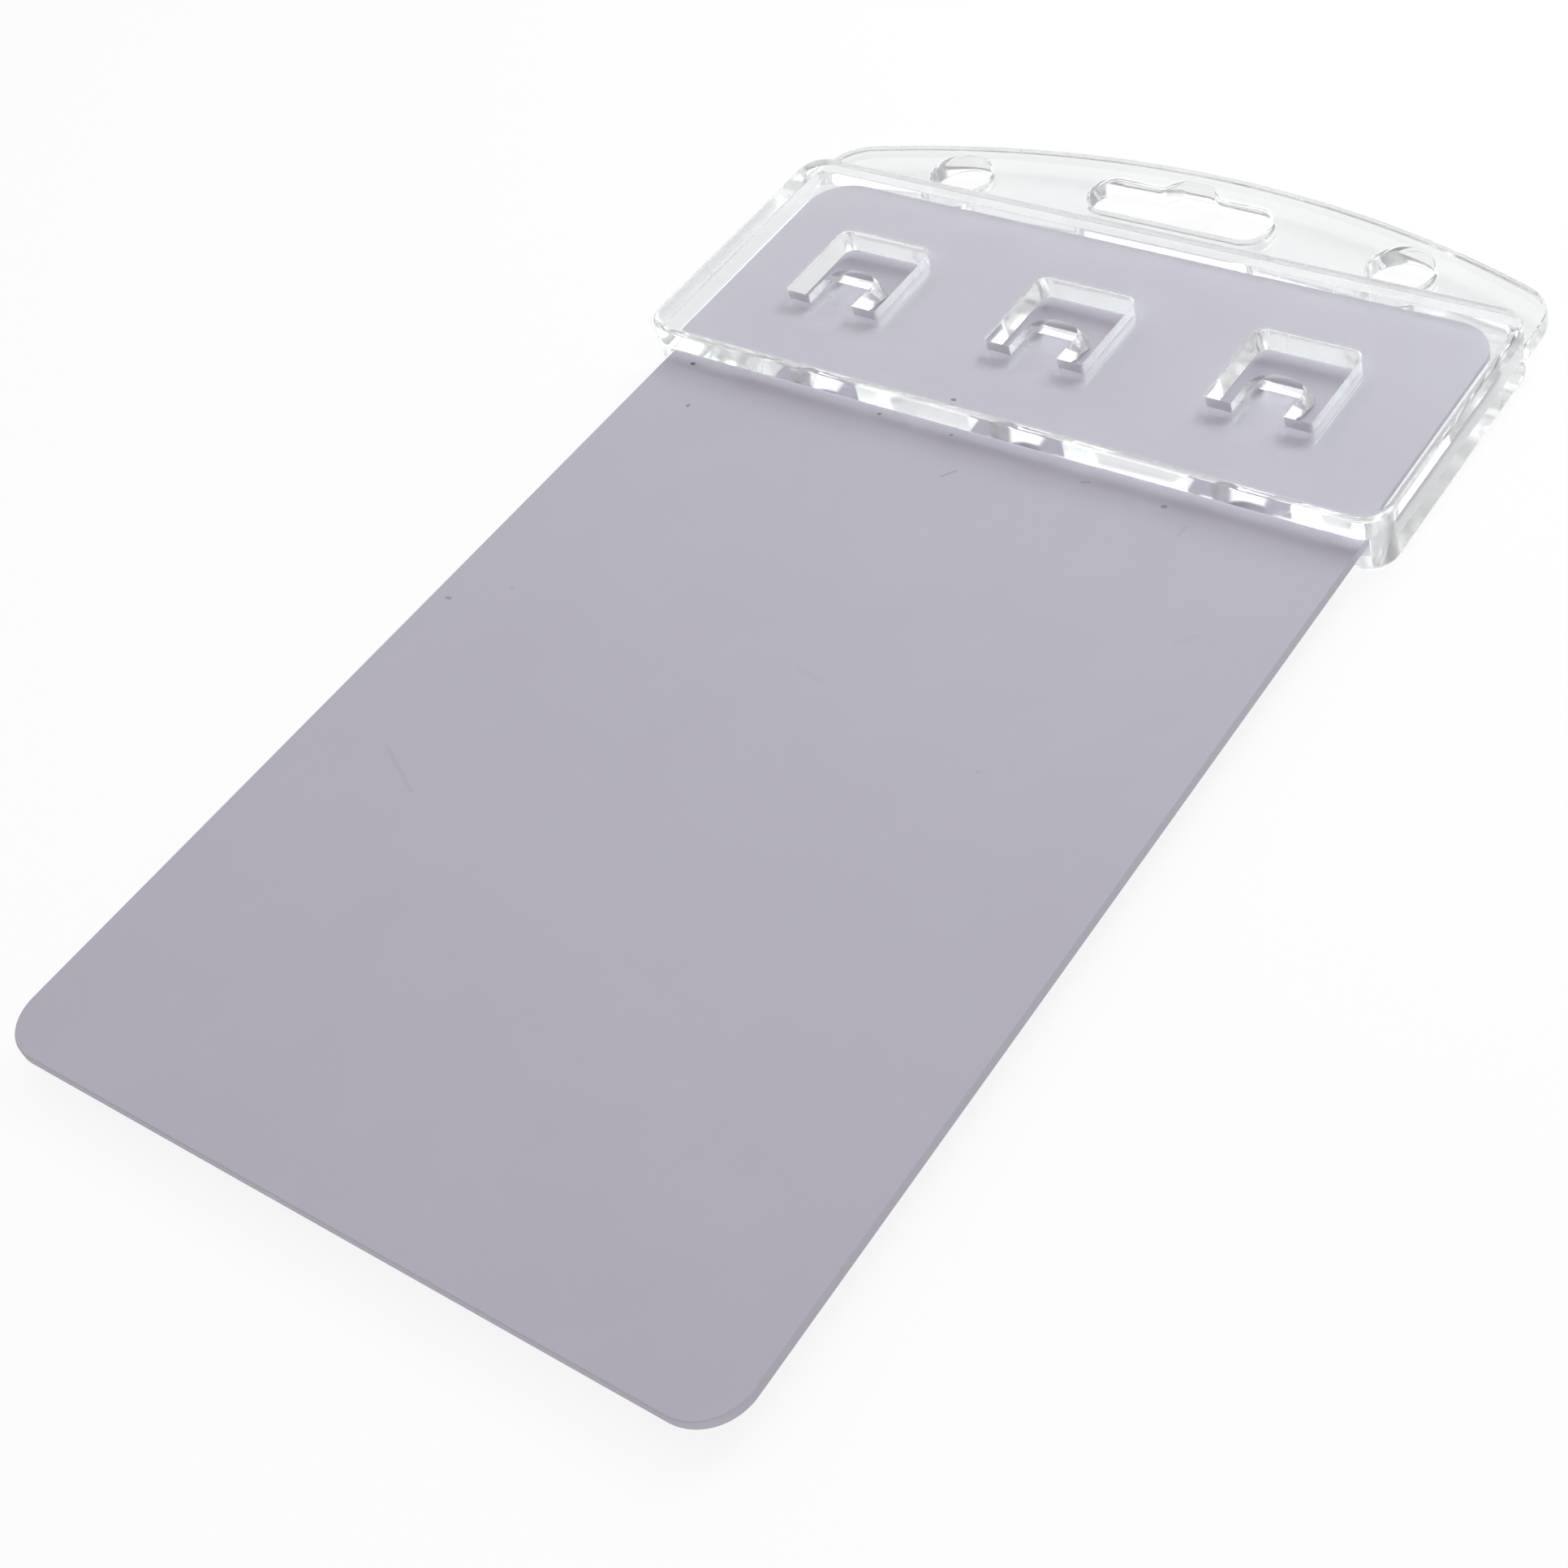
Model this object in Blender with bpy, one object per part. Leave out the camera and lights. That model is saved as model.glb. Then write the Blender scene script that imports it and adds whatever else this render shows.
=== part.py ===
"""Clear half-length badge holder, portrait, with a plain plastic card held in it.

The holder lies on its back. X runs across its width, Y runs from the card's free end towards the hang
tab, and Z points out of its front. All lengths are in metres and all angles in degrees.

Two clear mouldings are welded along a flat seam: a back plate with a card tray and an arched hang tab,
and a flat front cover. Three windows in the cover each hold a flexing tongue, which leaves a U-shaped slot
round it. A tongue is as thick as the cover at its root, and deepens down a ramp to a nose that presses on
the card. Its top slopes a little towards the card, and its round tip leans outwards.
"""

import math

import bmesh
import bpy

# Card, to the common identity card size
CARD_WIDTH = 0.05398
CARD_LENGTH = 0.0856
CARD_THICKNESS = 0.00076
CARD_CORNER_RADIUS = 0.00318
CARD_EDGE_RADIUS = 0.00008

# How the card sits in the holder
CARD_INSERTED_LENGTH = 0.0202
CARD_END_GAP = 0.0002
CARD_SIDE_GAP = 0.00076
CARD_ASIDE = 0.00035
SEAT_GAP = 0.0002

# Body of the holder: tray, walls and rim
SIDE_WALL = 0.001
END_WALL = 0.00085
BODY_CORNER_RADIUS = 0.002
TRAY_FLOOR = 0.0013
TRAY_CORNER_RADIUS = 0.0006
RIM_ABOVE_CARD = 0.0004
BACK_EDGE_RADIUS = 0.0004

# Hang tab, flush with the tray's rim at the front
TAB_THICKNESS = 0.0015
TAB_RISE = 0.00895
TAB_ARCH_RADIUS = 0.0775
TAB_CORNER_RADIUS = 0.0033
TAB_EDGE_RADIUS = 0.0003
HOLE_EDGE_RADIUS = 0.00025

# Strap slot with its centring notch, and the two round holes beside it
SLOT_LENGTH = 0.0143
SLOT_WIDTH = 0.0035
SLOT_END_RADIUS = 0.0016
SLOT_ABOVE_BODY = 0.00445
NOTCH_RISE = 0.0011
NOTCH_TOP_WIDTH = 0.0022
NOTCH_BASE_WIDTH = 0.0046
NOTCH_CORNER_RADIUS = 0.0006
ROUND_HOLE_DIAMETER = 0.0045
ROUND_HOLE_SPACING = 0.0355
ROUND_HOLE_ABOVE_BODY = 0.00315

# Front cover
COVER_THICKNESS = 0.0015
COVER_EDGE_RADIUS = 0.0004

# Grip tongues, and the U-shaped slots round them
TONGUE_NAMES = ("left", "middle", "right")
TONGUE_PITCH_SHARE = 0.3118
TONGUE_WIDTH = 0.0038
TONGUE_LENGTH = 0.0046
TONGUE_ROOT_FROM_FRONT = 0.00677
TONGUE_SIDE_SLOT = 0.00192
TONGUE_END_SLOT = 0.00268
TONGUE_CORNER_RADIUS = 0.0015
WINDOW_CORNER_RADIUS = 0.0008

# Side form of a tongue: where its underside starts down, the nose's flat, and how the tip drops and leans
RAMP_START = 0.0027
NOSE_FLAT = 0.0003
NOSE_BEHIND_TIP = 0.0006
NOSE_TIP_RISE = 0.0004
NOSE_RADIUS = 0.0003
TIP_DROP = 0.0003
TIP_LEAN = 0.00105

# How far a cutter runs past the faces that it cuts
CUT_OVERRUN = 0.002

# Counts of straight pieces in curves
CORNER_STEPS = 8
ARCH_STEPS = 36
EDGE_STEPS = 3
NOSE_STEPS = 4

# Heights above the back face
CARD_BOTTOM = TRAY_FLOOR + SEAT_GAP
CARD_TOP = CARD_BOTTOM + CARD_THICKNESS
SEAM_HEIGHT = CARD_TOP + RIM_ABOVE_CARD
TAB_BACK = SEAM_HEIGHT - TAB_THICKNESS
COVER_BOTTOM = SEAM_HEIGHT + SEAT_GAP
COVER_TOP = COVER_BOTTOM + COVER_THICKNESS
NOSE_BOTTOM = CARD_TOP + SEAT_GAP
TONGUE_AXIS_HEIGHT = COVER_TOP - COVER_THICKNESS / 2

# Half widths, and the distance between the tongues' middles
TRAY_HALF_WIDTH = CARD_WIDTH / 2 + CARD_SIDE_GAP
BODY_HALF_WIDTH = TRAY_HALF_WIDTH + SIDE_WALL
WINDOW_HALF_WIDTH = TONGUE_WIDTH / 2 + TONGUE_SIDE_SLOT
TONGUE_PITCH = CARD_WIDTH * TONGUE_PITCH_SHARE

# Places along the length, counted from the middle of the whole object
WHOLE_LENGTH = CARD_LENGTH + CARD_END_GAP + END_WALL + TAB_RISE
CARD_FREE_END = -WHOLE_LENGTH / 2
CARD_HELD_END = CARD_FREE_END + CARD_LENGTH
BODY_FRONT = CARD_HELD_END - CARD_INSERTED_LENGTH
TRAY_END = CARD_HELD_END + CARD_END_GAP
BODY_END = TRAY_END + END_WALL
TAB_TOP = BODY_END + TAB_RISE
SLOT_MIDDLE = BODY_END + SLOT_ABOVE_BODY
ROUND_HOLE_MIDDLE = BODY_END + ROUND_HOLE_ABOVE_BODY
TONGUE_ROOT = BODY_FRONT + TONGUE_ROOT_FROM_FRONT
TONGUE_TIP = TONGUE_ROOT + TONGUE_LENGTH
WINDOW_END = TONGUE_TIP + TONGUE_END_SLOT


def clear_scene():
    """Remove every object, so that the model starts from an empty scene."""
    for item in list(bpy.data.objects):
        bpy.data.objects.remove(item, do_unlink=True)


def arc(centre, radius, start, end, steps):
    """Points along an arc from one angle to another, both ends included."""
    points = []
    for index in range(steps + 1):
        angle = math.radians(start + (end - start) * index / steps)
        points.append((centre[0] + radius * math.cos(angle), centre[1] + radius * math.sin(angle)))
    return points


def direction(start, end):
    """Unit vector from one point of an outline to another."""
    run, rise = end[0] - start[0], end[1] - start[1]
    length = math.hypot(run, rise)
    return run / length, rise / length


def rounded_outline(corners, steps):
    """Anticlockwise outline through corners given as x, y and radius, each rounded by its own radius."""
    outline = []
    count = len(corners)
    for index, (x, y, radius) in enumerate(corners):
        if radius == 0:
            outline.append((x, y))
            continue
        come = direction(corners[index - 1], (x, y))
        leave = direction((x, y), corners[(index + 1) % count])
        turn = math.atan2(come[0] * leave[1] - come[1] * leave[0], come[0] * leave[0] + come[1] * leave[1])
        side = math.copysign(1, turn)
        reach = radius * math.tan(abs(turn) / 2)
        centre = (
            x - come[0] * reach - side * come[1] * radius,
            y - come[1] * reach + side * come[0] * radius,
        )
        start = math.degrees(math.atan2(-side * come[0], side * come[1]))
        outline.extend(arc(centre, radius, start, start + math.degrees(turn), steps))
    return outline


def rectangle(low_x, high_x, low_y, high_y, low_radius, high_radius):
    """Outline of a rectangle with one radius at its lower corners and another at its upper ones."""
    return rounded_outline(
        [
            (low_x, low_y, low_radius),
            (high_x, low_y, low_radius),
            (high_x, high_y, high_radius),
            (low_x, high_y, high_radius),
        ],
        CORNER_STEPS,
    )


def grown_outline(outline, distance):
    """The outline moved outwards along its mitred corners, or inwards where the distance is negative."""
    grown = []
    count = len(outline)
    for index, here in enumerate(outline):
        come = direction(outline[index - 1], here)
        leave = direction(here, outline[(index + 1) % count])
        spread = 1 + come[0] * leave[0] + come[1] * leave[1]
        grown.append((
            here[0] + distance * (come[1] + leave[1]) / spread,
            here[1] - distance * (come[0] + leave[0]) / spread,
        ))
    return grown


def quarter_round(radius):
    """Pairs of sideways and downwards steps that take a flat face round a quarter circle into a wall."""
    pairs = []
    for index in range(EDGE_STEPS + 1):
        angle = math.radians(90 * index / EDGE_STEPS)
        pairs.append((radius * (1 - math.sin(angle)), radius * (1 - math.cos(angle))))
    return pairs


def solid_from_rings(name, outline, levels):
    """Closed solid made of copies of an outline, each grown by its own amount at its own height."""
    shape = bmesh.new()
    rings = []
    for growth, height in levels:
        rings.append([shape.verts.new((x, y, height)) for x, y in grown_outline(outline, growth)])
    for lower, upper in zip(rings, rings[1:]):
        for index in range(len(outline)):
            shape.faces.new((lower[index - 1], lower[index], upper[index], upper[index - 1]))
    shape.faces.new(rings[0][::-1])
    shape.faces.new(rings[-1])
    mesh = bpy.data.meshes.new(name)
    shape.to_mesh(mesh)
    shape.free()
    item = bpy.data.objects.new(name, mesh)
    bpy.context.collection.objects.link(item)
    return item


def moulded_plate(name, outline, low, high, low_radius=0, high_radius=0):
    """Flat moulding with the given outline, whose lower and upper edges may be rounded."""
    lower, upper = [(0, low)], [(0, high)]
    if low_radius:
        lower = [(-side, low + down) for side, down in quarter_round(low_radius)]
    if high_radius:
        upper = [(-side, high - down) for side, down in quarter_round(high_radius)]
    return solid_from_rings(name, outline, lower + upper[::-1])


def hide_as_cutter(item):
    """Mark an object as a cutter or a guide, which isn't a piece of the model."""
    item.hide_render = True
    item.display_type = "WIRE"
    return item


def straight_cutter(name, outline, low, high):
    """Cutter with straight sides between two heights."""
    return hide_as_cutter(solid_from_rings(name, outline, [(0, low), (0, high)]))


def through_cutter(name, outline, low, high, edge_radius):
    """Cutter for a hole through a plate, flared at both faces so that the hole gets rounded edges."""
    flare = quarter_round(edge_radius)
    lower = [(side, low + down) for side, down in flare]
    upper = [(side, high - down) for side, down in flare]
    levels = [(edge_radius, low - CUT_OVERRUN)] + lower + upper[::-1] + [(edge_radius, high + CUT_OVERRUN)]
    return hide_as_cutter(solid_from_rings(name, outline, levels))


def combine(target, other, operation):
    """Join, cut or intersect a piece with another object by an exact Boolean."""
    modifier = target.modifiers.new(other.name, "BOOLEAN")
    modifier.solver = "EXACT"
    modifier.operation = operation
    modifier.object = other


def body_outline():
    """Plan outline of the holder's body, which the tray and the cover share."""
    return rectangle(
        -BODY_HALF_WIDTH, BODY_HALF_WIDTH, BODY_FRONT, BODY_END, BODY_CORNER_RADIUS, BODY_CORNER_RADIUS
    )


def tab_outline():
    """Plan outline of the hang tab: straight sides that turn through small corners into a wide arch."""
    arch_middle = TAB_TOP - TAB_ARCH_RADIUS
    corner_x = BODY_HALF_WIDTH - TAB_CORNER_RADIUS
    corner_y = arch_middle + math.sqrt((TAB_ARCH_RADIUS - TAB_CORNER_RADIUS) ** 2 - corner_x ** 2)
    turn = math.degrees(math.atan2(corner_y - arch_middle, corner_x))
    start = TRAY_END - BODY_CORNER_RADIUS
    outline = [(-BODY_HALF_WIDTH, start), (BODY_HALF_WIDTH, start)]
    outline += arc((corner_x, corner_y), TAB_CORNER_RADIUS, 0, turn, CORNER_STEPS)
    outline += arc((0, arch_middle), TAB_ARCH_RADIUS, turn, 180 - turn, ARCH_STEPS)[1:-1]
    outline += arc((-corner_x, corner_y), TAB_CORNER_RADIUS, 180 - turn, 180, CORNER_STEPS)
    return outline


def strap_slot_outline():
    """Plan outline of the strap slot: a long slot with a rounded notch in the middle of its upper edge."""
    half_length = SLOT_LENGTH / 2
    lower_edge = SLOT_MIDDLE - SLOT_WIDTH / 2
    upper_edge = SLOT_MIDDLE + SLOT_WIDTH / 2
    notch_top = upper_edge + NOTCH_RISE
    return rounded_outline(
        [
            (-half_length, lower_edge, SLOT_END_RADIUS),
            (half_length, lower_edge, SLOT_END_RADIUS),
            (half_length, upper_edge, SLOT_END_RADIUS),
            (NOTCH_BASE_WIDTH / 2, upper_edge, NOTCH_CORNER_RADIUS),
            (NOTCH_TOP_WIDTH / 2, notch_top, NOTCH_CORNER_RADIUS),
            (-NOTCH_TOP_WIDTH / 2, notch_top, NOTCH_CORNER_RADIUS),
            (-NOTCH_BASE_WIDTH / 2, upper_edge, NOTCH_CORNER_RADIUS),
            (-half_length, upper_edge, SLOT_END_RADIUS),
        ],
        CORNER_STEPS,
    )


def clear_plastic(name):
    """Clear, glossy moulded plastic."""
    material = bpy.data.materials.new(name)
    material.use_nodes = True
    shader = material.node_tree.nodes["Principled BSDF"]
    shader.inputs["Base Color"].default_value = (0.93, 0.94, 0.95, 1)
    shader.inputs["Roughness"].default_value = 0.05
    shader.inputs["Metallic"].default_value = 0
    shader.inputs["IOR"].default_value = 1.5
    shader.inputs["Transmission Weight"].default_value = 1
    return material


def card_plastic(name):
    """Plain grey-lavender card plastic with a satin face."""
    material = bpy.data.materials.new(name)
    material.use_nodes = True
    shader = material.node_tree.nodes["Principled BSDF"]
    shader.inputs["Base Color"].default_value = (0.44, 0.43, 0.49, 1)
    shader.inputs["Roughness"].default_value = 0.45
    shader.inputs["Metallic"].default_value = 0
    return material


def finish(item, material):
    """Give a piece its own material, and smooth shading up to its real edges."""
    item.data.materials.append(material)
    item.data.shade_smooth()
    item.data.set_sharp_from_angle(angle=math.radians(40))


def build_back_plate():
    """Rear moulding: a tray with walls on three sides, and the hang tab with its slot and holes."""
    plate = moulded_plate("back_plate", body_outline(), 0, SEAM_HEIGHT, low_radius=BACK_EDGE_RADIUS)
    tab = moulded_plate("tab_blank", tab_outline(), TAB_BACK, SEAM_HEIGHT, TAB_EDGE_RADIUS, TAB_EDGE_RADIUS)
    combine(plate, hide_as_cutter(tab), "UNION")
    tray = rectangle(
        -TRAY_HALF_WIDTH, TRAY_HALF_WIDTH, BODY_FRONT - CUT_OVERRUN, TRAY_END, 0, TRAY_CORNER_RADIUS
    )
    combine(plate, straight_cutter("tray_cutter", tray, TRAY_FLOOR, SEAM_HEIGHT + CUT_OVERRUN), "DIFFERENCE")
    slot = through_cutter(
        "strap_slot_cutter", strap_slot_outline(), TAB_BACK, SEAM_HEIGHT, HOLE_EDGE_RADIUS
    )
    combine(plate, slot, "DIFFERENCE")
    for side, side_name in ((-1, "left"), (1, "right")):
        middle = (side * ROUND_HOLE_SPACING / 2, ROUND_HOLE_MIDDLE)
        outline = arc(middle, ROUND_HOLE_DIAMETER / 2, 0, 360, 4 * CORNER_STEPS)[:-1]
        hole = through_cutter(side_name + "_hole_cutter", outline, TAB_BACK, SEAM_HEIGHT, HOLE_EDGE_RADIUS)
        combine(plate, hole, "DIFFERENCE")
    finish(plate, clear_plastic("back_plate_plastic"))


def tongue_middles():
    """Name of each tongue with the X of its centre line."""
    first = -TONGUE_PITCH * (len(TONGUE_NAMES) - 1) / 2
    return [(name, first + TONGUE_PITCH * index) for index, name in enumerate(TONGUE_NAMES)]


def build_front_cover():
    """Front moulding: a flat plate with a window round each tongue."""
    cover = moulded_plate(
        "front_cover", body_outline(), COVER_BOTTOM, COVER_TOP, high_radius=COVER_EDGE_RADIUS
    )
    for name, middle in tongue_middles():
        low_x, high_x = middle - WINDOW_HALF_WIDTH, middle + WINDOW_HALF_WIDTH
        window = rectangle(low_x, high_x, TONGUE_ROOT, WINDOW_END, 0, WINDOW_CORNER_RADIUS)
        cutter = straight_cutter(
            name + "_window_cutter", window, COVER_BOTTOM - CUT_OVERRUN, COVER_TOP + CUT_OVERRUN
        )
        combine(cover, cutter, "DIFFERENCE")
    finish(cover, clear_plastic("front_cover_plastic"))


def tongue_profile():
    """Side outline of a tongue, as distance from its root line and height above its axis.

    It runs past the tip, which the plan guide trims.
    """
    top = COVER_TOP - TONGUE_AXIS_HEIGHT
    underside = top - COVER_THICKNESS
    low = NOSE_BOTTOM - TONGUE_AXIS_HEIGHT
    nose_end = TONGUE_LENGTH - NOSE_BEHIND_TIP
    past_tip = TONGUE_LENGTH + NOSE_BEHIND_TIP
    drop = TIP_DROP * past_tip / TONGUE_LENGTH
    return rounded_outline(
        [
            (SEAT_GAP, top, 0),
            (SEAT_GAP, underside, 0),
            (RAMP_START, underside, NOSE_RADIUS),
            (nose_end - NOSE_FLAT, low, NOSE_RADIUS),
            (nose_end, low, NOSE_RADIUS),
            (past_tip, low + 2 * NOSE_TIP_RISE, 0),
            (past_tip, top - drop, 0),
        ],
        NOSE_STEPS,
    )


def tongue_plan_guide(name, middle):
    """Guide that trims a tongue in plan: a rounded tip, and an end that leans outwards."""
    half_width = TONGUE_WIDTH / 2
    low_x, high_x = middle - half_width, middle + half_width
    plan = rectangle(low_x, high_x, TONGUE_ROOT - CUT_OVERRUN, TONGUE_TIP, 0, TONGUE_CORNER_RADIUS)
    guide = straight_cutter(name + "_tongue_guide", plan, CARD_TOP, COVER_TOP + CUT_OVERRUN)
    tip_low = NOSE_BOTTOM + NOSE_TIP_RISE
    lean = TIP_LEAN / (COVER_TOP - tip_low)
    for vertex in guide.data.vertices:
        vertex.co.y -= lean * (vertex.co.z - tip_low)
    return guide


def build_tongue(name, middle):
    """One grip tongue: its side profile extruded across its width, and trimmed in plan."""
    reach = TONGUE_WIDTH / 2 + CUT_OVERRUN
    tongue = solid_from_rings("grip_tongue_" + name, tongue_profile(), [(0, -reach), (0, reach)])
    for vertex in tongue.data.vertices:
        along, up, across = vertex.co
        vertex.co = (across, along, up)
    tongue.location = (middle, TONGUE_ROOT, TONGUE_AXIS_HEIGHT)
    combine(tongue, tongue_plan_guide(name, middle), "INTERSECT")
    finish(tongue, clear_plastic("grip_tongue_" + name + "_plastic"))


def build_card():
    """The plain card, with rounded corners and barely rounded edges."""
    half_width = CARD_WIDTH / 2
    outline = rectangle(
        -half_width, half_width, 0, CARD_LENGTH, CARD_CORNER_RADIUS, CARD_CORNER_RADIUS
    )
    card = moulded_plate("id_card", outline, 0, CARD_THICKNESS, CARD_EDGE_RADIUS, CARD_EDGE_RADIUS)
    card.location = (CARD_ASIDE, CARD_FREE_END, CARD_BOTTOM)
    finish(card, card_plastic("id_card_plastic"))


def main():
    """Build every piece of the holder, and the card in it."""
    clear_scene()
    build_back_plate()
    build_front_cover()
    for name, middle in tongue_middles():
        build_tongue(name, middle)
    build_card()


main()
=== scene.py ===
"""Looks of a clear half-length badge holder, portrait, that holds a plain plastic card.

The holder lies on its back on a white table. X runs across its width, Y runs from the card's free end
towards the hang tab, and Z points out of its front. All lengths are in metres and all angles in degrees.
"""

from __future__ import annotations

import logging
import math
from dataclasses import dataclass
from enum import Enum

import bmesh
import bpy
from bpy.types import ID, Material, Node, NodeSocket, NodeTree, Object
from mathutils import Matrix, Vector

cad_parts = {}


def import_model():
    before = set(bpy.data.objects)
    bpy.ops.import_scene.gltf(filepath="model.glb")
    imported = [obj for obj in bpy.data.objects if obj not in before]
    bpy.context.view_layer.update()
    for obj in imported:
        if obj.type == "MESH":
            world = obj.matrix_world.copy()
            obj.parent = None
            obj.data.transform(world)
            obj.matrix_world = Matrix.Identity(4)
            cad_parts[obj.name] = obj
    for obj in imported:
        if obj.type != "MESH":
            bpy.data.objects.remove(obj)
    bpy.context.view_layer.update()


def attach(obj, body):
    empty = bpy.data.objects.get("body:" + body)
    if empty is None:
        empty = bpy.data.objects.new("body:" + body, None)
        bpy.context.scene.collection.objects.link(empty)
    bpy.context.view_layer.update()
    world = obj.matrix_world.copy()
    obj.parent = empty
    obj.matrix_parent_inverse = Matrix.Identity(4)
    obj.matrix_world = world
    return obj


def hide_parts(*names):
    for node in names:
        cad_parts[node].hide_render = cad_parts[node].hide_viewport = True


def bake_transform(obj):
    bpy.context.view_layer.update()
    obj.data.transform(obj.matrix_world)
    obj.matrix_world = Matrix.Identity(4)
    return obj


Point = tuple[float, float]
Corner = tuple[float, float, float]
Level = tuple[float, float]
Place = tuple[float, float, float]
Colour = tuple[float, float, float]
Feed = NodeSocket | float | tuple[float, ...]

LOG = logging.getLogger("badge_holder")
SHARP_ANGLE = 40.0
FULL_WEIGHT = 100
SAME_PLACE = 1e-7


class Body(Enum):
    """Moving bodies of the frame that pieces ride on."""

    HOLDER = "holder"
    CARD = "card"
    LEFT_TONGUE = "left_tongue"
    MIDDLE_TONGUE = "middle_tongue"
    RIGHT_TONGUE = "right_tongue"


class Cut(Enum):
    """Ways in which one solid changes another."""

    JOIN = "UNION"
    REMOVE = "DIFFERENCE"
    KEEP_SHARED = "INTERSECT"


class Outline:
    """Plan outlines, listed anticlockwise, from which every solid is made."""

    @staticmethod
    def arc(centre: Point, radius: float, start: float, end: float, steps: int) -> list[Point]:
        """Points along an arc from one angle to another, both ends included."""
        angles = [math.radians(start + (end - start) * index / steps) for index in range(steps + 1)]
        return [(centre[0] + radius * math.cos(a), centre[1] + radius * math.sin(a)) for a in angles]

    @staticmethod
    def heading(start: Point, end: Point) -> Vector:
        """Unit vector from one point to another."""
        return Vector((end[0] - start[0], end[1] - start[1])).normalized()

    @staticmethod
    def rounded(corners: list[Corner], steps: int) -> list[Point]:
        """Outline through corners that are each rounded by their own radius.

        Args:
            corners: x, y and radius of each corner, anticlockwise.
            steps: count of straight pieces in each rounding.

        Returns:
            The outline's points.
        """
        outline: list[Point] = []
        for index, (x, y, radius) in enumerate(corners):
            if radius == 0:
                outline.append((x, y))
                continue
            before, after = corners[index - 1], corners[(index + 1) % len(corners)]
            come = Outline.heading(before[:2], (x, y))
            leave = Outline.heading((x, y), after[:2])
            turn = math.atan2(come.x * leave.y - come.y * leave.x, come.dot(leave))
            side = math.copysign(1, turn)
            reach = radius * math.tan(abs(turn) / 2)
            centre = (
                x - come.x * reach - side * come.y * radius,
                y - come.y * reach + side * come.x * radius,
            )
            start = math.degrees(math.atan2(-side * come.x, side * come.y))
            outline.extend(Outline.arc(centre, radius, start, start + math.degrees(turn), steps))
        return outline

    @staticmethod
    def rectangle(low: Point, high: Point, low_radius: float, high_radius: float, steps: int) -> list[Point]:
        """Rectangle with one radius at its lower corners and another at its upper ones.

        Args:
            low: lower left corner.
            high: upper right corner.
            low_radius: radius of the two lower corners.
            high_radius: radius of the two upper corners.
            steps: count of straight pieces in each rounding.

        Returns:
            The outline's points.
        """
        lower = [(low[0], low[1], low_radius), (high[0], low[1], low_radius)]
        upper = [(high[0], high[1], high_radius), (low[0], high[1], high_radius)]
        return Outline.rounded(lower + upper, steps)

    @staticmethod
    def grown(outline: list[Point], distance: float) -> list[Point]:
        """Outline moved outwards along its mitred corners.

        Args:
            outline: the points to move.
            distance: how far outwards, or inwards where it is negative.

        Returns:
            The moved points.
        """
        moved: list[Point] = []
        for index, here in enumerate(outline):
            come = Outline.heading(outline[index - 1], here)
            leave = Outline.heading(here, outline[(index + 1) % len(outline)])
            spread = 1 + come.dot(leave)
            moved.append((
                here[0] + distance * (come.y + leave.y) / spread,
                here[1] - distance * (come.x + leave.x) / spread,
            ))
        return moved


def placed(name: str, data: ID) -> Object:
    """New object in the scene."""
    item = bpy.data.objects.new(name, data)
    bpy.context.collection.objects.link(item)
    return item


def discard(item: Object) -> None:
    """Remove an object and its mesh."""
    mesh = item.data
    bpy.data.objects.remove(item, do_unlink=True)
    bpy.data.meshes.remove(mesh)


class Solid:
    """Solids made of stacked outlines, and what cuts and joins them."""

    @staticmethod
    def quarter_round(radius: float, steps: int) -> list[Level]:
        """Sideways and downwards steps that take a flat face round a quarter circle into a wall.

        Args:
            radius: radius of the rounding.
            steps: count of straight pieces in it.

        Returns:
            Pairs of how far in and how far down each step lies.
        """
        if radius == 0:
            return [(0.0, 0.0)]
        angles = [math.radians(90 * index / steps) for index in range(steps + 1)]
        return [(radius * (1 - math.sin(a)), radius * (1 - math.cos(a))) for a in angles]

    @staticmethod
    def stacked(name: str, outline: list[Point], levels: list[Level]) -> Object:
        """Closed solid made of copies of an outline, each grown by its own amount at its own height.

        Args:
            name: name of the new object.
            outline: plan outline, anticlockwise.
            levels: growth and height of each copy, from the lowest up.

        Returns:
            The new object.
        """
        shape = bmesh.new()
        rings = [
            [shape.verts.new((x, y, height)) for x, y in Outline.grown(outline, growth)]
            for growth, height in levels
        ]
        for lower, upper in zip(rings, rings[1:]):
            for index in range(len(outline)):
                shape.faces.new((lower[index - 1], lower[index], upper[index], upper[index - 1]))
        shape.faces.new(rings[0][::-1])
        shape.faces.new(rings[-1])
        mesh = bpy.data.meshes.new(name)
        shape.to_mesh(mesh)
        shape.free()
        return placed(name, mesh)

    @staticmethod
    def change(target: Object, other: Object, how: Cut) -> None:
        """Change a solid by another one, which is then removed from the scene.

        Args:
            target: the solid that is changed.
            other: the solid that changes it.
            how: whether the other is joined to it, cut away from it or keeps what they share.
        """
        modifier = target.modifiers.new(other.name, "BOOLEAN")
        modifier.solver = "EXACT"
        modifier.operation = how.value
        modifier.object = other
        graph = bpy.context.evaluated_depsgraph_get()
        result = bpy.data.meshes.new_from_object(target.evaluated_get(graph))
        old = target.data
        target.modifiers.clear()
        target.data = result
        result.name = target.name
        bpy.data.meshes.remove(old)
        discard(other)

    @staticmethod
    def shade(item: Object) -> None:
        """Smooth shading up to real edges, with flat faces kept flat.

        Args:
            item: the piece to shade.
        """
        item.data.shade_smooth()
        item.data.set_sharp_from_angle(angle=math.radians(SHARP_ANGLE))
        weighted = item.modifiers.new("flat_faces_kept", "WEIGHTED_NORMAL")
        weighted.mode = "FACE_AREA"
        weighted.weight = FULL_WEIGHT
        weighted.keep_sharp = True


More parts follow.
